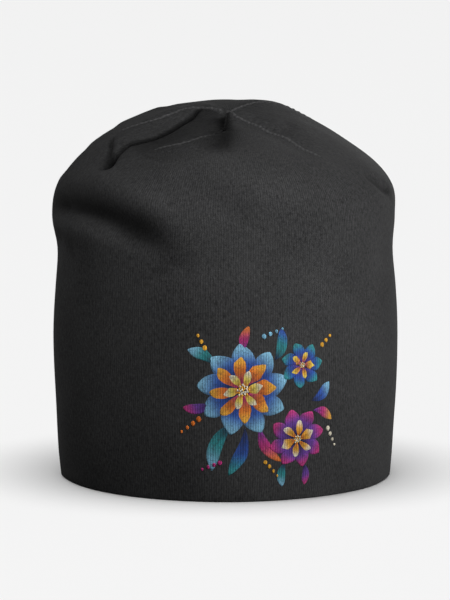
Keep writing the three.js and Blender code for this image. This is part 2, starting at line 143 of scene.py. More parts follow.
# Painted shade: where creases, hollows and dents would lie in shadow the cloth's colour is darkened. Share
# of the cloth's colour that is lost on the path, the other columns as in the folds
paintedShades = {
    "crease": dict(loss=0.72, above=1.2, below=1.4, fade=(0.08, 0.05), path=folds["foldLine"]["path"]),
    "facet": dict(loss=0.52, above=0.7, below=19.0, fade=(0.05, 0.45), path=folds["foldLine"]["path"]),
    "shortCrease": dict(loss=0.5, above=1.6, below=1.6, fade=(0.3, 0.1), path=folds["shortCrease"]["path"]),
    "deepSpot": dict(loss=0.82, above=3.7, below=3.7, path=folds["deepSpot"]["path"]),
    "peak": dict(loss=0.6, above=7.0, below=3.0, fade=(0.03, 0.4),
        path=[(-0.5, -15.9, 180.7), (0, -19.4, 179.9), (0.5, -26.5, 178.3), (0.8, -46.7, 172.5),
              (0.5, -53.3, 170.3), (0.5, -58.9, 168.1), (-1, -68.8, 163.8)]),
    "underPeak": dict(loss=0.46, above=14.0, below=8.0, fade=(0.3, 0.3),
        path=[(0.5, -30, 177), (0.8, -46.7, 172.5), (-2, -58.9, 168.1), (-8, -67, 164.5)]),
    "peakCore": dict(loss=0.7, above=2.0, below=2.0, fade=(0.1, 0.25),
        path=[(-1.2, -15.9, 180.7), (-1.2, -22, 179.3), (-0.8, -34, 176.4), (-0.6, -46.7, 172.5)]),
    "valley": dict(loss=0.68, above=4.6, below=7.6, fade=(0.25, 0.28),
        path=[(-86.5, 6, 136), (-84, -20.3, 136.9), (-75.2, -46.6, 138), (-67.8, -59.4, 137),
              (-57.1, -72.5, 134), (-50, -79.1, 130), (-41.4, -84.8, 126.2), (-34, -88.5, 123.6),
              (-27.7, -90.7, 121.4), (-21.4, -92.5, 119), (-13, -94, 116)]),
    "slant": dict(loss=0.16, above=6.0, below=6.0, fade=(0.3, 0.3),
        path=[(-26, -76, 156), (-12, -85, 150), (1, -90, 144), (14, -91, 137), (24, -89, 131)]),
    "rightDent": dict(loss=0.45, above=2.6, below=2.6, fade=(0.6, 0.15), path=folds["rightDent"]["path"]),
    "leftDent": dict(loss=0.32, above=3.0, below=4.0, fade=(0.35, 0.5), path=folds["leftDent"]["path"]),
    "lowDent": dict(loss=0.2, above=2.2, below=2.8, fade=(0.2, 0.4), path=folds["lowDent"]["path"]),
}

# What the sewing does to the cloth beside a seam, in mm
sewing = dict(
    dip=-0.55,
    dipReach=2.6,
    pucker=0.16,
    puckerLength=4.4,
    puckerReach=6.0,
    slant=0.25,                   # radians by which a pucker leans for each mm from the seam
    fadeOut=0.3,                  # share of a seam's length over which the sewing dies away
    points=9,                     # places of a seam that its path runs through
)

# Slow swells of the whole cloth: rise in mm, waves round the cap, mm up for one wave, where they start
swells = [(0.30, 3, 150.0, 0.4), (0.22, 5, 92.0, 2.1), (0.16, 8, 61.0, 4.0), (0.10, 13, 43.0, 1.2)]


def throughRows(table, at):
    # between rows k and k + 1 a cubic that meets both rows and leans towards rows k - 1 and k + 2
    last = len(table) - 1
    k = np.clip(np.floor(at).astype(int), 0, last - 1)
    f = (at - k)[..., None]
    before, here, after = table[np.maximum(k - 1, 0)], table[k], table[k + 1]
    beyond = table[np.minimum(k + 2, last)]
    return 0.5 * (2 * here + (after - before) * f + (2 * before - 5 * here + 4 * after - beyond) * f**2
                  + (3 * here - before - 3 * after + beyond) * f**3)


def formPoints(bearing, row):
    # superellipse of four quarters: reach = ((|sin| / half width)^n + (|cos| / half depth)^n)^(-1 / n),
    # with the height going from the front's to the back's with the cosine of the bearing
    s = dict(zip(sectionColumns, np.moveaxis(throughRows(sections, row), -1, 0)))
    side, ahead = np.sin(bearing), np.cos(bearing)
    halfWidth = np.where(side > 0, s["right"] - s["middleX"], s["left"] + s["middleX"])
    halfDepth = np.where(ahead > 0, s["front"] + s["middleY"], s["back"] - s["middleY"])
    halfWidth, halfDepth = np.maximum(halfWidth, cap["least"]), np.maximum(halfDepth, cap["least"])
    reach = ((np.abs(side) / halfWidth) ** s["square"]
             + (np.abs(ahead) / halfDepth) ** s["square"]) ** (-1 / s["square"])
    height = (s["frontHeight"] + s["backHeight"] - (s["backHeight"] - s["frontHeight"]) * ahead) / 2
    return np.stack([s["middleX"] + reach * side, s["middleY"] - reach * ahead, height], -1)


def unit(vectors):
    # each vector divided by its length
    return vectors / np.linalg.norm(vectors, axis=-1, keepdims=True)


def formNormals(bearing, row):
    # the cross product of a short step round the ring and a short step up the rows
    step = cap["formStep"]
    around = formPoints(bearing + step, row) - formPoints(bearing - step, row)
    up = formPoints(bearing, np.minimum(row + step, lastRow)) - formPoints(bearing, row - step)
    return unit(np.cross(around, up))


def smooth(share):
    # 3 x^2 - 2 x^3 from 0 to 1, which starts and ends level
    x = np.clip(share, 0, 1)
    return x * x * (3 - 2 * x)


def besidePath(points, normals, path, far):
    # for each point within far of the path: its offset from the nearest place of the path, laid in the
    # cloth, the path's direction there, the distance gone along it and the whole length
    last = len(path) - 1
    line = throughRows(path, np.linspace(0, last, cap["pathSteps"] * last + 1))
    near = np.nonzero(((points > line.min(0) - far) & (points < line.max(0) + far)).all(1))[0]
    p, n = points[near], normals[near]
    runs = line[1:] - line[:-1]
    lengths = np.linalg.norm(runs, axis=1)
    starts = np.concatenate([[0], np.cumsum(lengths)])
    best = np.full(len(p), np.inf)
    offset, run, gone = np.zeros_like(p), np.zeros_like(p), np.zeros(len(p))
    for start, ray, length, place in zip(line, runs / lengths[:, None], lengths, starts):
        d = p - start
        along = np.clip(d @ ray, 0, length)
        d = d - along[:, None] * ray
        distance = np.linalg.norm(d, axis=1)
        closer = distance < best
        best[closer] = distance[closer]
        offset[closer], run[closer], gone[closer] = d[closer], ray, place + along[closer]
    offset -= (offset * n).sum(1)[:, None] * n
    return near, offset, run, gone, starts[-1]


def besideFold(points, normals, fold):
    # for each point that the fold can reach: its number, how far the fold's ends have faded there, the
    # distance, and the share of the upper side, which goes over into the lower one at the path
    far = cap["farOff"] * max(fold["above"], fold["below"], fold.get("lipReach", 0))
    near, offset, run, gone, length = besidePath(points, normals, np.array(fold["path"], float), far)
    fadeIn, fadeOut = fold.get("fade", (0, 0))
    strength = np.ones(len(near))
    if fadeIn:
        strength = smooth(gone / length / fadeIn) * smooth((1 - gone / length) / fadeOut)
    down = np.cross(normals[near], run)
    upper = 0.5 * (1 - np.tanh((offset * down).sum(1) / cap["edge"]))
    return near, strength, np.linalg.norm(offset, axis=1), upper


def bell(distance, reach):
    # e to the power of minus (distance / reach)^2
    return np.exp(-((distance / reach) ** 2))


def foldMove(points, normals):
    # every fold lifts the cloth by its rise times a bell curve of the distance from its path, and a lip
    # lifts only the upper side
    move = np.zeros_like(points)
    for fold in folds.values():
        near, strength, distance, upper = besideFold(points, normals, fold)
        rise = fold["rise"] * bell(distance, fold["below"] + (fold["above"] - fold["below"]) * upper)
        rise -= fold.get("slot", 0) * bell(distance, cap["slotReach"])
        if "lip" in fold:
            rise += fold["lip"] * upper * bell(distance, fold["lipReach"])
        move[near] += (strength * rise)[:, None] * normals[near]
    return move


def paintedClothShade(bearing, row):
    # painted shade of the creases and hollows: every shade keeps 1 - loss * bell curve of the distance from
    # its path, and its ends fade out
    bearing, row = np.broadcast_arrays(bearing, row)
    points, normals = formPoints(bearing, row).reshape(-1, 3), formNormals(bearing, row).reshape(-1, 3)
    kept = np.ones(len(points))
    for shade in paintedShades.values():
        near, strength, distance, upper = besideFold(points, normals, shade)
        reach = shade["below"] + (shade["above"] - shade["below"]) * upper
        kept[near] *= 1 - shade["loss"] * strength * bell(distance, reach)
    return kept.reshape(bearing.shape)


def seamLine(seam, count):
    # bearing and row at even steps through the seam's points
    route = np.stack([np.radians(seam["bearings"]), seam["rows"]], 1)
    return throughRows(route, np.linspace(0, len(route) - 1, count)).T


def sewnRise(points, normals):
    # beside a seam: a narrow dip, and puckers across it as a sine of the way along
    rise = np.zeros(len(points))
    for seam in seams.values():
        path = formPoints(*seamLine(seam, sewing["points"]))
        far = cap["farOff"] * sewing["puckerReach"]
        near, offset, run, gone, length = besidePath(points, normals, path, far)
        distance = np.linalg.norm(offset, axis=1)
        side = (np.cross(normals[near], run) * offset).sum(1)
        dip = sewing["dip"] * bell(distance, sewing["dipReach"])
        wave = np.sin(2 * np.pi * gone / sewing["puckerLength"] + side * sewing["slant"])
        pucker = sewing["pucker"] * wave * bell(distance, sewing["puckerReach"])
        rise[near] += smooth((1 - gone / length) / sewing["fadeOut"]) * (dip + pucker)
    return rise


def clothPoints(bearing, row, lift=0.0):
    # form + folds + (sewing + swells + lift) along the outward normal
    bearing, row, lift = np.broadcast_arrays(bearing, row, lift)
    p = formPoints(bearing, row).reshape(-1, 3)
    n = formNormals(bearing, row).reshape(-1, 3)
    rise = sewnRise(p, n) + lift.reshape(-1)
    for height, waves, upward, start in swells:
        around = np.sin(waves * bearing.reshape(-1) + start)
        rise += height * around * np.sin(2 * np.pi * p[:, 2] / upward + start)
    return (p + foldMove(p, n) + rise[:, None] * n).reshape(bearing.shape + (3,))


def clothNormals(bearing, row):
    # as formNormals, but of the folded cloth
    turn, rise = cap["clothStep"]
    around = clothPoints(bearing + turn, row) - clothPoints(bearing - turn, row)
    up = clothPoints(bearing, np.minimum(row + rise, lastRow)) - clothPoints(bearing, row - rise)
    return unit(np.cross(around, up))


def cornersOf(grid):
    # the values at each quad's four corners, from a grid with one column more than its ring
    return np.stack([grid[..., :-1, :-1, :], grid[..., :-1, 1:, :], grid[..., 1:, 1:, :],
                     grid[..., 1:, :-1, :]], -2)


def skinObject(name, rings, cornerUv, material, colours):
    # closed skins of rings carried along: quads from ring to ring, and a fan to the middle of the first and
    # of the last. Rings that turn right-handed about the way they go face outwards.
    rings = rings.reshape((-1,) + rings.shape[-3:])
    skins, count, around = rings.shape[:3]
    number = np.arange(skins * count * around).reshape(skins, count, around)
    onward = np.roll(number, -1, 2)
    tips = skins * count * around + np.arange(2 * skins).reshape(2, skins, 1).repeat(around, 2)
    quads = np.stack([number[:, :-1], onward[:, :-1], onward[:, 1:], number[:, 1:]], -1).reshape(-1, 4)
    firstFan = np.stack([tips[0], onward[:, 0], number[:, 0]], -1).reshape(-1, 3)
    lastFan = np.stack([tips[1], number[:, -1], onward[:, -1]], -1).reshape(-1, 3)
    points = np.concatenate([rings.reshape(-1, 3), rings[:, 0].mean(1), rings[:, -1].mean(1)])

    cornerUv = cornerUv.reshape(skins, count - 1, around, 4, 2)
    first, last = cornerUv[:, 0], cornerUv[:, -1]
    firstUv = np.stack([(first[..., 0, :] + first[..., 1, :]) / 2, first[..., 1, :], first[..., 0, :]], -2)
    lastUv = np.stack([(last[..., 2, :] + last[..., 3, :]) / 2, last[..., 3, :], last[..., 2, :]], -2)

    mesh = bpy.data.meshes.new(name)
    mesh.from_pydata((points * mm).tolist(), [], quads.tolist() + firstFan.tolist() + lastFan.tolist())
    layer = mesh.uv_layers.new(name="cloth")
    layer.data.foreach_set("uv", np.concatenate([part.reshape(-1) for part in (cornerUv, firstUv, lastUv)]))
    # point colours: painted shade on the cloth and the seams, the inks' own colours on the print
    colours = colours.reshape(skins, count, around, 3)
    colours = np.concatenate([colours.reshape(-1, 3), colours[:, 0].mean(1), colours[:, -1].mean(1)])
    paint = mesh.color_attributes.new(name="paint", type="FLOAT_COLOR", domain="POINT")
    paint.data.foreach_set("color", np.pad(colours, ((0, 0), (0, 1)), constant_values=1).reshape(-1))
    mesh.polygons.foreach_set("use_smooth", np.ones(len(mesh.polygons), bool))
    mesh.materials.append(material)
    mesh.update()
    piece = bpy.data.objects.new(name, mesh)
    bpy.context.collection.objects.link(piece)
    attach(piece, "root")
    print(name, len(mesh.polygons), "faces")
    return piece


def grey(tone):
    # the same share of red, green and blue
    return (tone, tone, tone)


white = grey(1.0)


class Nodes:
    # short ways to add nodes to a new material
    def __init__(self, name):
        self.material = bpy.data.materials.new(name)
        self.material.use_nodes = True
        self.tree = self.material.node_tree
        self.shader = self.tree.nodes["Principled BSDF"].inputs

    def plug(self, socket, value):
        if isinstance(value, bpy.types.NodeSocket):
            self.tree.links.new(value, socket)
        else:
            socket.default_value = value

    def math(self, operation, *values):
        node = self.tree.nodes.new("ShaderNodeMath")
        node.operation = operation
        for socket, value in zip(node.inputs, values):
            self.plug(socket, value)
        return node.outputs[0]

    def noise(self, vector, scale, detail, roughness):
        node = self.tree.nodes.new("ShaderNodeTexNoise")
        self.plug(node.inputs["Vector"], vector)
        self.plug(node.inputs["Scale"], scale)
        self.plug(node.inputs["Detail"], detail)
        self.plug(node.inputs["Roughness"], roughness)
        return node.outputs["Fac"]

    def ramp(self, factor, stops):
        node = self.tree.nodes.new("ShaderNodeValToRGB")
        self.plug(node.inputs[0], factor)
        for element, (place, colour) in zip(node.color_ramp.elements, stops):
            element.position = place
            element.color = (*colour, 1)
        return node.outputs[0]

    def mix(self, blend, factor, first, second):
        node = self.tree.nodes.new("ShaderNodeMix")
        node.data_type = "RGBA"
        node.blend_type = blend
        self.plug(node.inputs[0], factor)
        self.plug(node.inputs[6], first)
        self.plug(node.inputs[7], second)
        return node.outputs[2]

    def bump(self, height, distance, strength, under=None):
        node = self.tree.nodes.new("ShaderNodeBump")
        self.plug(node.inputs["Height"], height)
        self.plug(node.inputs["Distance"], distance)
        self.plug(node.inputs["Strength"], strength)
        if under:
            self.plug(node.inputs["Normal"], under)
        return node.outputs[0]

    def uv(self):
        node = self.tree.nodes.new("ShaderNodeUVMap")
        node.uv_map = "cloth"
        parts = self.tree.nodes.new("ShaderNodeSeparateXYZ")
        self.plug(parts.inputs[0], node.outputs[0])
        return parts.outputs[0], parts.outputs[1]

    def place(self):
        return self.tree.nodes.new("ShaderNodeTexCoord").outputs["Object"]

    def paint(self):
        # point colours: painted shade of the cloth and the seams, the inks' own colours on the print
        node = self.tree.nodes.new("ShaderNodeAttribute")
        node.attribute_name = "paint"
        return node.outputs["Color"]

    def vector(self, x, y):
        node = self.tree.nodes.new("ShaderNodeCombineXYZ")
        self.plug(node.inputs[0], x)
        self.plug(node.inputs[1], y)
        return node.outputs[0]

    def wave(self, turns):
        # from 0 to 1 and back over each whole turn, highest at the whole numbers
        angle = self.math("MULTIPLY", turns, 2 * np.pi)
        return self.math("MULTIPLY_ADD", self.math("COSINE", angle), 0.5, 0.5)


# The knit, in mm of the cloth's own uv map, which runs along the wales in v
knit = dict(
    wale=1.2,             # from one wale to the next
    course=1.05,          # from one row of stitches to the next
    slant=1.3,            # how far the stitches' legs slope, in courses
    cut=0.35,             # share of a wale's height that the stitches cut away
    dartRow=8.6,          # above this row the darts take cloth away, and the wales end at the seams
    countRow=3.0,         # row at which the wales of a panel are counted
)


def knitHeight(nodes, u, v):
    # a round wale as a cosine of u, cut by stitches that slope down from the wale's middle
    turn = nodes.math("DIVIDE", u, knit["wale"])
    share = nodes.math("FRACT", nodes.math("ADD", turn, 0.5))
    off = nodes.math("ABSOLUTE", nodes.math("SUBTRACT", share, 0.5))
    stitch = nodes.math("MULTIPLY_ADD", off, knit["slant"], nodes.math("DIVIDE", v, knit["course"]))
    uncut = nodes.math("MULTIPLY_ADD", nodes.wave(stitch), knit["cut"], 1 - knit["cut"])
    return nodes.math("MULTIPLY", nodes.wave(turn), uncut)


jersey = dict(
    dark=(0.0145, 0.0145, 0.015),
    light=(0.066, 0.066, 0.067),
    stops=(0.29, 0.61),           # heather at which the yarn is darkest, and lightest
    streaks=(1.25, 0.34),         # grain across and along the yarn, for one mm
    yarn=(1.0, 3.0, 0.65),        # scale, detail and roughness of each noise
    flecks=(900.0, 2.0, 0.7),
    clouds=(26.0, 3.0, 0.5),
    fuzz=(2600.0, 2.0, 0.6),
    shares=(0.4, 0.3, 0.18),      # of yarn, flecks and clouds in the heather
    paintedGrooveShade=0.78,                  # share of the colour left by the painted shade in the grooves between the wales
    fullTone=0.7,                 # height of the knit from which its colour is full, without painted groove shade
    roughness=0.92,
    gloss=0.04,
    sheen=0.02,
    sheenRoughness=0.5,
    fuzzBump=(0.0002, 0.35),      # metres, and strength
    knitBump=(0.00028, 0.22),
)


def jerseyMaterial():
    # charcoal cotton: heathered yarn, fine wales and a little fuzz, with painted shade in the wales' grooves
    # and in the creases
    nodes = Nodes("jersey")
    u, v = nodes.uv()
    place = nodes.place()
    height = knitHeight(nodes, u, v)
    across, along = jersey["streaks"]
    yarnShare, fleckShare, cloudShare = jersey["shares"]
    darkest, lightest = jersey["stops"]
    grain = nodes.vector(nodes.math("MULTIPLY", u, across), nodes.math("MULTIPLY", v, along))
    heather = nodes.math("MULTIPLY", nodes.noise(grain, *jersey["yarn"]), yarnShare)
    heather = nodes.math("MULTIPLY_ADD", nodes.noise(place, *jersey["flecks"]), fleckShare, heather)
    heather = nodes.math("MULTIPLY_ADD", nodes.noise(place, *jersey["clouds"]), cloudShare, heather)
    colour = nodes.ramp(heather, [(darkest, jersey["dark"]), (lightest, jersey["light"])])
    # painted shade: the grooves between the wales are darker
    shade = nodes.ramp(height, [(0.0, grey(jersey["paintedGrooveShade"])), (jersey["fullTone"], white)])
    colour = nodes.mix("MULTIPLY", 1.0, colour, shade)
    # the point colours darken the cloth with painted shade in the creases and hollows
    nodes.plug(nodes.shader["Base Color"], nodes.mix("MULTIPLY", 1.0, colour, nodes.paint()))
    nodes.plug(nodes.shader["Roughness"], jersey["roughness"])
    nodes.plug(nodes.shader["Specular IOR Level"], jersey["gloss"])
    nodes.plug(nodes.shader["Sheen Weight"], jersey["sheen"])
    nodes.plug(nodes.shader["Sheen Roughness"], jersey["sheenRoughness"])
    fuzz = nodes.bump(nodes.noise(place, *jersey["fuzz"]), *jersey["fuzzBump"])
    nodes.plug(nodes.shader["Normal"], nodes.bump(height, *jersey["knitBump"], fuzz))
    return nodes.material


def ringRows(stops):
    # rows spaced evenly between the stops, each stop with the number of rings up to the next
    parts = [np.linspace(a, b, count, endpoint=False) for (a, count), (b, _) in zip(stops, stops[1:])]
    return np.concatenate(parts + [[stops[-1][0]]])


def columnBearings():
    # even turns less a sine, which draws the columns together round the fold bearing
    turn = np.arange(cap["columns"] + 1) / cap["columns"] * 2 * np.pi
    return turn - cap["crowding"] * np.sin(turn - np.radians(cap["foldBearing"]))


def panelEdges(rows):
    # bearings of the seams at each row, from the back right one round to itself, straight down below a dart
    edges = []
    for name, turn in (("backRight", 0), ("backLeft", 360), ("frontLeft", 360), ("frontRight", 360),
                       ("backRight", 360)):
        seam = seams[name]
        edges.append(np.interp(rows, seam["rows"][::-1], seam["bearings"][::-1]) + turn)
    return np.radians(np.stack(edges, -1))


def clothUv(bearings, rows, points):
    # in each panel u is the way round the ring from the panel's middle, so that its wales stand parallel,
    # and v the way up the cloth; below the darts a panel is stretched to whole wales
    steps = np.linalg.norm(np.diff(points, axis=1), axis=2)
    around = np.concatenate([np.zeros((len(rows), 1)), np.cumsum(steps, axis=1)], axis=1)
    girth = around[:, -1:]
    v = np.concatenate([np.zeros((1, len(bearings))),
                        np.cumsum(np.linalg.norm(np.diff(points, axis=0), axis=2), axis=0)])
    twice = np.concatenate([bearings[:-1], bearings + 2 * np.pi])
    aroundTwice = np.concatenate([around[:, :-1], around + girth], axis=1)
    edges = panelEdges(rows)
    at = np.stack([np.interp(edge, twice, line) for edge, line in zip(edges, aroundTwice)])
    widths = np.diff(at, axis=1)
    middles = (at[:, 1:] + at[:, :-1]) / 2
    whole = np.round(widths[np.searchsorted(rows, knit["countRow"])] / knit["wale"]) * knit["wale"]
    starts = np.concatenate([[0], np.cumsum(whole)[:-1]])
    dart = np.searchsorted(rows, knit["dartRow"])
    stretch = whole / np.where(rows[:, None] < knit["dartRow"], widths, widths[dart])
    way = around[None] - middles.T[..., None]
    way = (way + girth / 2) % girth - girth / 2
    u = (starts + whole / 2)[:, None, None] + way * stretch.T[..., None]
    return np.stack([u, np.broadcast_to(v, u.shape)], -1), edges


def buildShell(material):
    # up the inner face turned about: from the crown's middle down inside, round the rim on a half circle,
    # and up the outer face
    bearings = columnBearings()
    outerRows, innerRows = ringRows(cap["outerRings"]), ringRows(cap["innerRings"])
    half = cap["thickness"] / 2
    outer = clothPoints(bearings, outerRows[:, None])
    inner = clothPoints(bearings, innerRows[:, None], -cap["thickness"])
    angles = np.linspace(np.pi, 0, cap["rimRings"] + 2)[1:-1, None]
    rim = clothPoints(bearings, outerRows[0], -half * (1 - np.cos(angles)))
    rim[..., 2] = outer[0, :, 2] * (1 - np.sin(angles))

    outerUv, outerEdges = clothUv(bearings, outerRows, outer)
    innerUv, innerEdges = clothUv(bearings, innerRows, inner)
    rimUv = np.repeat(outerUv[:, :1], len(angles), axis=1)
    rimUv[..., 1] -= half * angles
    innerUv[..., 1] = -np.pi * half - innerUv[..., 1]
    uv = np.concatenate([innerUv[:, ::-1], rimUv, outerUv], axis=1)
    edges = np.concatenate([innerEdges[::-1], np.repeat(outerEdges[:1], len(angles), axis=0), outerEdges])

    # each quad takes the uv of the panel that its middle lies in
    middle = np.broadcast_to((bearings[1:] + bearings[:-1]) / 2, (len(edges) - 1, cap["columns"]))
    middle = np.where(middle < edges[:-1, :1], middle + 2 * np.pi, middle)
    panel = np.clip((middle[..., None] > edges[:-1, None]).sum(-1) - 1, 0, len(seams) - 1)
    cornerUv = np.take_along_axis(cornersOf(uv), panel[None, ..., None, None], axis=0)[0]
    rings = np.concatenate([inner[::-1], rim, outer])[:, :-1]
    # the outer face's point colours carry the painted shade of the creases and hollows; the inner face and
    # the rim have none
    kept = np.ones(rings.shape[:2])
    kept[-len(outer):] = paintedClothShade(bearings[:-1], outerRows[:, None])
    colours = np.repeat(kept[..., None], 3, axis=2)
    return skinObject("beanieShell", rings, cornerUv, material, colours)


shell = buildShell(jerseyMaterial())
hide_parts("shell")


# The sewn ridges over the dart seams
ridge = dict(
    width=1.5,
    height=0.6,
    depth=0.4,            # how far it goes into the cloth
    samples=400,          # places along it that are measured before the rings are spaced
    count=260,            # rings along it
    around=14,
    stitch=2.4,           # mm from one stitch to the next
    swell=0.06,           # share by which each stitch swells
    taper=4.0,            # mm over which an end narrows
    tip=0.3,              # share of its size that is left at the end
    dark=(0.039, 0.039, 0.040),
    light=(0.078, 0.078, 0.079),
    stops=(0.25, 0.75),   # tone at which it is dark, and light
    lean=0.12,            # stitches by which a stitch leans for each mm across
    stitchShare=0.25,     # of the stitches in the tone, the rest being yarn
    yarn=(900.0, 3.0, 0.7),
    twist=(2200.0, 2.0, 0.6),
    roughness=0.85,
    gloss=0.04,
    sheen=0.02,
    twistBump=(0.0002, 0.4),
    stitchBump=(0.0002, 0.6),
)


def ridgeMaterial():
    # sewing thread over the turned edge: stitches as a wave along v, with heathered yarn between them, and
    # painted shade where the seam runs through a crease
    nodes = Nodes("seamThread")
    u, v = nodes.uv()
    place = nodes.place()
    turns = nodes.math("DIVIDE", v, ridge["stitch"])
    stitch = nodes.wave(nodes.math("MULTIPLY_ADD", u, ridge["lean"], turns))
    yarn = nodes.math("MULTIPLY", nodes.noise(place, *ridge["yarn"]), 1 - ridge["stitchShare"])
    tone = nodes.math("MULTIPLY_ADD", stitch, ridge["stitchShare"], yarn)
    darkest, lightest = ridge["stops"]
    colour = nodes.ramp(tone, [(darkest, ridge["dark"]), (lightest, ridge["light"])])
    # the point colours darken the thread with painted shade in the creases
    nodes.plug(nodes.shader["Base Color"], nodes.mix("MULTIPLY", 1.0, colour, nodes.paint()))
    nodes.plug(nodes.shader["Roughness"], ridge["roughness"])
    nodes.plug(nodes.shader["Specular IOR Level"], ridge["gloss"])
    nodes.plug(nodes.shader["Sheen Weight"], ridge["sheen"])
    twist = nodes.bump(nodes.noise(place, *ridge["twist"]), *ridge["twistBump"])
    nodes.plug(nodes.shader["Normal"], nodes.bump(stitch, *ridge["stitchBump"], twist))
    return nodes.material


def buildRidge(name, seam, material):
    # an oval carried along the seam: width and height swell with each stitch and narrow at both ends
    bearing, row = seamLine(seam, ridge["samples"])
    line = clothPoints(bearing, row)
    gone = np.concatenate([[0], np.cumsum(np.linalg.norm(np.diff(line, axis=0), axis=1))])
    even = np.linspace(0, gone[-1], ridge["count"])
    bearing, row = np.interp(even, gone, bearing), np.interp(even, gone, row)
    line, up = clothPoints(bearing, row), clothNormals(bearing, row)
    ahead = unit(np.gradient(line, axis=0))
    side = unit(np.cross(ahead, up))
    up = np.cross(side, ahead)
    full = smooth(even / ridge["taper"]) * smooth((even[-1] - even) / ridge["taper"])
    full = ridge["tip"] + (1 - ridge["tip"]) * full
    full *= 1 + ridge["swell"] * np.cos(2 * np.pi * even / ridge["stitch"])
    angle = np.linspace(0, 2 * np.pi, ridge["around"] + 1)
    across = ridge["width"] / 2 * np.cos(angle)
    tall = np.where(np.sin(angle) > 0, ridge["height"], ridge["depth"]) * np.sin(angle)
    oval = across[:, None] * side[:, None] + tall[:, None] * up[:, None]
    rings = line[:, None] + full[:, None, None] * oval
    u = np.broadcast_to(angle * ridge["width"] / np.pi, rings.shape[:2])
    v = np.broadcast_to(even[:, None], rings.shape[:2])
    # the side points right of the way along and the angle turns it up, so the rings go left-handed
    rings, u, v = rings[:, ::-1], u[:, ::-1], v[:, ::-1]
    rings = rings[:, :-1]
    # painted shade: the thread is darkened where its seam runs through a crease or hollow, as the cloth
    # beneath is
    colours = np.broadcast_to(paintedClothShade(bearing, row)[:, None, None], rings.shape)
    return skinObject(name, rings, cornersOf(np.stack([u, v], -1)), material, colours)


thread = ridgeMaterial()
ridges = []
for key, node in (("frontRight", "front_right"), ("frontLeft", "front_left"), ("backLeft", "back_left"),
                  ("backRight", "back_right")):
    piece = buildRidge("crownSeam." + key, seams[key], thread)
    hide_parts("crown_seam_" + node)
    ridges.append(piece)


# The print: flowers with leaves and seed dots, in thin films of ink on the front of the cap
inks = dict(
    navy=(0.012, 0.020, 0.085), cobalt=(0.020, 0.085, 0.42), violet=(0.15, 0.045, 0.36),
    magenta=(0.52, 0.025, 0.20), orange=(0.80, 0.19, 0.018), amber=(0.85, 0.42, 0.035),
    yellow=(0.85, 0.66, 0.10), cream=(0.80, 0.74, 0.58), teal=(0.020, 0.26, 0.28), sky=(0.22, 0.50, 0.70),
)
printing = dict(
    bearing=10.5,         # where the middle is, in degrees
    height=46.5,          # and in mm above the rim
    radius=95.5,          # mm of cloth to one radian of bearing
    film=0.10,            # mm that the ink stands on the cloth
    layer=0.004,          # mm that each shape lies above the one before
    edge=0.15,            # mm that a shape's edge lies in the cloth
    back=0.3,             # mm that its back lies in the cloth
    wallRows=7,           # rows of the table that the print lies between
)
# a petal or leaf: its outline, and how its colours run along it (0 to 1) and across it (-1 to 1)
petal = dict(
    rings=18,
    across=9,             # points over it, and as many back below it
    end=0.01,             # share of the way that is left off at each end
    widest=1.25,          # above 1 the widest place is nearer to the tip
    blunt=0.75,           # below 1 the ends are rounder
    ripple=0.05,          # share by which the width swells
    ripples=9,
    stagger=2,            # radians by which the next petal's ripples are moved on
    blend=0.5,            # share of the way over which one ink passes into the next
    third=0.45,           # where the third ink starts
    streak=0.3,           # share of the colour that the streaks take
    streaks=5,
    streakLean=3,
    streakEnd=1.2,
    vein=0.45,            # and that the middle vein takes
    veinWidth=0.16,
    rim=0.35,             # and that the rim takes
    rimPower=6,
    tipLight=0.02,        # that is added at the tip
)
dot = dict(
    rings=8,
    across=5,
    end=0.08,             # radians that are left off at the foot and the top
    shrink=0.16,          # share of the first dot's size by which each next one is smaller
    above=20,             # layers that the dots lie above the last petal
    layers=5,             # layers that they take turns on
)
# flowers: middle, and for each circle of petals: how many, where they start, length, width, bend, inks
flowers = [
    dict(at=(-9, 8), turn=8, circles=[
        (9, 3.0, 22.0, 11.5, 0.25, ("navy", "cobalt", "sky")),
        (8, 2.5, 16.0, 9.0, -0.2, ("magenta", "orange", "amber")),
        (6, 1.5, 9.5, 6.0, 0.2, ("orange", "yellow", "cream")),
    ]),
    dict(at=(18, -16), turn=20, circles=[
        (8, 2.0, 14.5, 8.0, -0.25, ("navy", "violet", "magenta")),
        (6, 1.5, 9.0, 6.0, 0.2, ("orange", "amber", "cream")),
    ]),
    dict(at=(20, 19), turn=0, circles=[
        (7, 1.5, 11.0, 6.5, 0.3, ("violet", "cobalt", "teal")),
        (5, 1.0, 6.5, 4.5, -0.2, ("magenta", "amber", "yellow")),
    ]),
]
# leaves: foot, heading in degrees from the right turning up, length, width, bend, inks
leaves = [
    ((-14, -8), 232, 25, 8, 0.5, ("navy", "teal", "sky")),
    ((-8, -10), 262, 24, 7, -0.4, ("navy", "cobalt", "teal")),
    ((-1, -9), 287, 21, 6, 0.5, ("violet", "magenta", "orange")),
    ((-24, 2), 205, 14, 6, -0.5, ("navy", "violet", "magenta")),
    ((-22, 20), 140, 15, 6, 0.4, ("navy", "teal", "sky")),
    ((-8, 26), 96, 12, 5, -0.5, ("violet", "magenta", "orange")),
    ((6, 22), 62, 15, 6, 0.5, ("navy", "teal", "cobalt")),
    ((25, 2), 25, 13, 6, 0.5, ("navy", "cobalt", "sky")),
    ((26, -3), 350, 12, 5, -0.5, ("violet", "magenta", "amber")),
    ((12, -28), 250, 10, 5, 0.5, ("navy", "teal", "sky")),
    ((22, -29), 290, 9, 4.5, -0.4, ("navy", "violet", "magenta")),
]
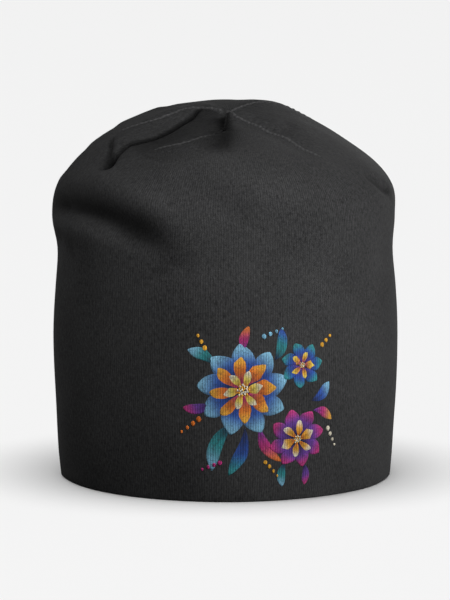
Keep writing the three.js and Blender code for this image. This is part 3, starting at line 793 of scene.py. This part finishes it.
# sprays of dots: foot, heading, number, spacing, first size, ink
sprays = [
    ((-30, -6), 215, 4, 3.4, 2.6, "orange"),
    ((-20, -27), 200, 4, 3.0, 2.4, "magenta"),
    ((-27, 28), 120, 3, 3.2, 2.4, "amber"),
    ((1, 33), 20, 4, 3.2, 2.4, "sky"),
    ((31, 28), 40, 3, 3.0, 2.2, "amber"),
    ((35, -12), 300, 4, 3.2, 2.4, "cream"),
    ((2, -27), 315, 4, 2.9, 2.2, "amber"),
]
seeds = dict(count=22, spread=0.62, size=1.1, golden=137.5)   # dots in the middle of each flower


def inkShapes():
    # rows of foot x, foot y, heading, length, width, bend and three inks, in the order they are printed
    shapes = [(*foot, heading, *rest, kinds) for foot, heading, *rest, kinds in leaves]
    for flower in flowers:
        for number, start, length, width, bend, kinds in flower["circles"]:
            for heading in flower["turn"] + 360 / number * np.arange(number):
                away = start * np.array([np.cos(np.radians(heading)), np.sin(np.radians(heading))])
                shapes.append((*(flower["at"] + away), heading, length - start, width, bend, kinds))
    return shapes


def inkDots():
    # sprays that shrink along their way, and seeds whose k-th is at spread * sqrt(k), turned the golden
    # angle from the one before
    dots = []
    for foot, heading, number, spacing, size, ink in sprays:
        away = np.array([np.cos(np.radians(heading)), np.sin(np.radians(heading))])
        dots += [(*(foot + k * spacing * away), size * (1 - dot["shrink"] * k), ink) for k in range(number)]
    for flower in flowers:
        grow = flower["circles"][0][2] / flowers[0]["circles"][0][2]
        for k in range(seeds["count"]):
            turn = np.radians(seeds["golden"] * k)
            away = seeds["spread"] * grow * np.sqrt(k) * np.array([np.cos(turn), np.sin(turn)])
            dots.append((*(flower["at"] + away), seeds["size"] * grow, "cream" if k % 3 else "amber"))
    return dots


def thereAndBack(part):
    # from the first value to the last, and back to the second
    return np.concatenate([part, part[..., -2:0:-1]], -1)


def filmRings(x, y, edge, order):
    # x and y over the top of each shape from one edge to the other, then back below the cloth's face;
    # the film's height falls as the fourth root of 1 - edge^2, and its uv map is x and y
    lift = printing["film"] + printing["layer"] * order
    top = -printing["edge"] + (lift + printing["edge"]) * np.maximum(1 - edge**2, 0) ** 0.25
    below = np.full_like(top, -printing["back"])[..., 1:-1]
    x, y = thereAndBack(x), thereAndBack(y)
    height = np.concatenate([top, below], -1)
    bearing = np.radians(printing["bearing"]) + x / printing["radius"]
    rows = printing["wallRows"]
    row = np.interp(printing["height"] + y, sections[:rows, 0], np.arange(rows))
    uv = np.stack([x, y], -1)
    return clothPoints(bearing, row, height), cornersOf(np.concatenate([uv, uv[:, :, :1]], 2))


def buildPrint(material):
    # a petal: its spine curves by bend, and its width is a sine of the way along, widest past the middle
    shapes = inkShapes()
    x0, y0, heading, length, width, bend = np.array([shape[:6] for shape in shapes]).T[:, :, None, None]
    kinds = np.array([[inks[kind] for kind in shape[6]] for shape in shapes])
    base, middle, tip = kinds.transpose(1, 0, 2)[:, :, None, None]
    order = np.arange(len(shapes))[:, None, None]
    s = np.linspace(petal["end"], 1 - petal["end"], petal["rings"])[None, :, None]
    t = np.sin(np.linspace(-np.pi / 2, np.pi / 2, petal["across"]))[None, None]
    turn = np.radians(heading) + bend * (s - 0.5)
    half = width / 2 * np.sin(np.pi * s ** petal["widest"]) ** petal["blunt"]
    half = half * (1 + petal["ripple"] * np.sin(petal["ripples"] * s + petal["stagger"] * order))
    x = x0 + length * s * np.cos(turn) + t * half * np.sin(turn)
    y = y0 + length * s * np.sin(turn) - t * half * np.cos(turn)
    rings, cornerUv = filmRings(x, y, t + 0 * s, order)

    t = thereAndBack(t) + 0 * s
    s, t = s[..., None], t[..., None]
    colour = base + (middle - base) * smooth(s / petal["blend"])
    colour = colour + (tip - middle) * smooth((s - petal["third"]) / petal["blend"])
    streak = 0.5 + 0.5 * np.cos(np.pi * petal["streaks"] * t + petal["streakLean"] * s)
    colour = colour * (1 - petal["streak"] * streak * smooth(petal["streakEnd"] - s))
    colour = colour * (1 - petal["vein"] * bell(t, petal["veinWidth"]) * (1 - s))
    colour = colour * (1 - petal["rim"] * np.abs(t) ** petal["rimPower"]) + petal["tipLight"] * s
    return skinObject("frontPrint.flowers", rings, cornerUv, material, colour)


def buildDots(material):
    # a disc, from its foot up: its width along the way is that of a circle
    dots = inkDots()
    x0, y0, size = np.array([facts[:3] for facts in dots]).T[:, :, None, None]
    colour = np.array([inks[facts[3]] for facts in dots])[:, None, None]
    order = dot["above"] + len(inkShapes()) + np.arange(len(dots))[:, None, None] % dot["layers"]
    turn = np.linspace(dot["end"], np.pi - dot["end"], dot["rings"])[None, :, None]
    t = np.sin(np.linspace(-np.pi / 2, np.pi / 2, dot["across"]))[None, None]
    x = x0 + size / 2 * t * np.sin(turn)
    y = y0 - size / 2 * np.cos(turn) + 0 * t
    rings, cornerUv = filmRings(x, y, t + 0 * turn, order)
    colour = np.broadcast_to(colour, rings.shape)
    return skinObject("frontPrint.dots", rings, cornerUv, material, colour)


film = dict(
    wash=(160.0, 4.0, 0.6),
    washStops=(0.3, 0.65),
    washTones=(0.62, 1.05),       # share of the ink's colour at the two stops
    bare=(1100.0, 2.0, 0.7),
    bareStops=(0.34, 0.5),
    bareShare=0.5,                # of the cloth's colour in a bare fleck
    cloth=(0.03, 0.03, 0.031),
    paintedGrooveShade=0.7,                   # share of the colour left by the painted shade in the knit's grooves
    fullTone=0.6,
    roughness=0.8,
    gloss=0.25,
    bump=(0.00022, 0.6),
)


def inkMaterial():
    # matt ink that has sunk into the knit: cloudy like a wash, with small bare flecks, and painted shade in
    # the knit's grooves
    nodes = Nodes("printInk")
    u, v = nodes.uv()
    place = nodes.place()
    height = knitHeight(nodes, u, v)
    washStops = zip(film["washStops"], map(grey, film["washTones"]))
    wash = nodes.ramp(nodes.noise(place, *film["wash"]), washStops)
    colour = nodes.mix("MULTIPLY", 1.0, nodes.paint(), wash)
    bareStops = zip(film["bareStops"], (white, grey(0.0)))
    bare = nodes.ramp(nodes.noise(place, *film["bare"]), bareStops)
    bare = nodes.math("MULTIPLY", bare, film["bareShare"])
    colour = nodes.mix("MIX", bare, colour, (*film["cloth"], 1))
    # painted shade: the ink is darker in the knit's grooves
    paintedGrooveShade = nodes.ramp(height, [(0.0, grey(film["paintedGrooveShade"])), (film["fullTone"], white)])
    nodes.plug(nodes.shader["Base Color"], nodes.mix("MULTIPLY", 1.0, colour, paintedGrooveShade))
    nodes.plug(nodes.shader["Roughness"], film["roughness"])
    nodes.plug(nodes.shader["Specular IOR Level"], film["gloss"])
    nodes.plug(nodes.shader["Normal"], nodes.bump(height, *film["bump"]))
    return nodes.material


ink = inkMaterial()
prints = [buildPrint(ink), buildDots(ink)]


# The stage: floor, camera and lights
view = dict(
    elevation=6.5,        # degrees
    distance=1.8,
    target=(0.0, 0.0, 0.0866),
    lens=216.0,
    sensor=36.0,
    size=40.0,            # floor, in metres
    floor=(0.9, 0.9, 0.9),
    floorRoughness=0.9,
    world=0.045,          # strength of the light from all round
)
# kind, where it shines from and at, power, size in metres (a sun's in degrees), and whether it lights the cap
# or the floor
lights = dict(
    key=dict(kind="AREA", start=(0.10, -0.45, 0.25), aim=(0, 0, 0.12), power=0.42, size=0.2, cap=True),
    upper=dict(kind="AREA", start=(0.0, -0.35, 0.30), aim=(0, 0, 0.12), power=0.24, size=0.2, cap=True),
    near=dict(kind="AREA", start=(0.18, -0.30, 0.22), aim=(0, 0, 0.12), power=0.38, size=0.2, cap=True),
    side=dict(kind="AREA", start=(0.50, -0.22, 0.15), aim=(0, 0, 0.12), power=1.3, size=0.2, cap=True),
    high=dict(kind="AREA", start=(-0.26, -0.22, 0.62), aim=(0, 0, 0.15), power=1.3, size=0.2, cap=True),
    behind=dict(kind="SUN", start=(1.0, 1.0, 0.08), aim=(0, 0, 0), power=0.62, size=30, cap=True),
    rear=dict(kind="AREA", start=(0.12, 0.60, 0.25), aim=(0, 0, 0.10), power=0.9, size=0.3, cap=True),
    ground=dict(kind="SUN", start=(0.0, -0.05, 1.0), aim=(0, 0, 0), power=3.13, size=45, cap=False),
)


def buildFloor():
    # one square in the plane of the rim
    half = view["size"] / 2
    mesh = bpy.data.meshes.new("floor")
    corners = [(-half, -half, 0), (half, -half, 0), (half, half, 0), (-half, half, 0)]
    mesh.from_pydata(corners, [], [(0, 1, 2, 3)])
    nodes = Nodes("floor")
    nodes.plug(nodes.shader["Base Color"], (*view["floor"], 1))
    nodes.plug(nodes.shader["Roughness"], view["floorRoughness"])
    mesh.materials.append(nodes.material)
    floor = bpy.data.objects.new("floor", mesh)
    bpy.context.collection.objects.link(floor)
    floor.visible_diffuse = False      # the floor throws no light back on the cap
    return floor


def buildCamera():
    # straight in front, raised by the elevation on a circle round the target
    rise = np.radians(view["elevation"])
    camera = bpy.data.cameras.new("camera")
    camera.lens = view["lens"]
    camera.sensor_width = view["sensor"]
    holder = bpy.data.objects.new("camera", camera)
    bpy.context.collection.objects.link(holder)
    away = view["distance"] * Vector((0, -np.cos(rise), np.sin(rise)))
    holder.location = Vector(view["target"]) + away
    holder.rotation_euler = (np.pi / 2 - rise, 0, 0)
    bpy.context.scene.camera = holder


def buildLights(capPieces, floor):
    # each light stands at its start, turned to its aim, and lights only the cap or only the floor
    groups = {}
    for name, lit in (("litCap", capPieces), ("litFloor", [floor])):
        groups[name] = bpy.data.collections.new(name)
        for piece in lit:
            groups[name].objects.link(piece)
    for name, facts in lights.items():
        light = bpy.data.lights.new(name, facts["kind"])
        light.energy = facts["power"]
        if facts["kind"] == "SUN":
            light.angle = np.radians(facts["size"])
        else:
            light.size = facts["size"]
        holder = bpy.data.objects.new(name, light)
        bpy.context.collection.objects.link(holder)
        start = Vector(facts["start"])
        holder.location = start
        holder.visible_camera = False
        holder.rotation_euler = (Vector(facts["aim"]) - start).to_track_quat("-Z", "Y").to_euler()
        holder.light_linking.receiver_collection = groups["litCap" if facts["cap"] else "litFloor"]
    world = bpy.data.worlds.new("world")
    world.use_nodes = True
    world.node_tree.nodes["Background"].inputs[0].default_value = (1, 1, 1, 1)
    world.node_tree.nodes["Background"].inputs[1].default_value = view["world"]
    bpy.context.scene.world = world
    bpy.context.scene.view_settings.view_transform = "Standard"


floor = buildFloor()
buildCamera()
buildLights([shell] + ridges + prints, floor)
print("stage set")
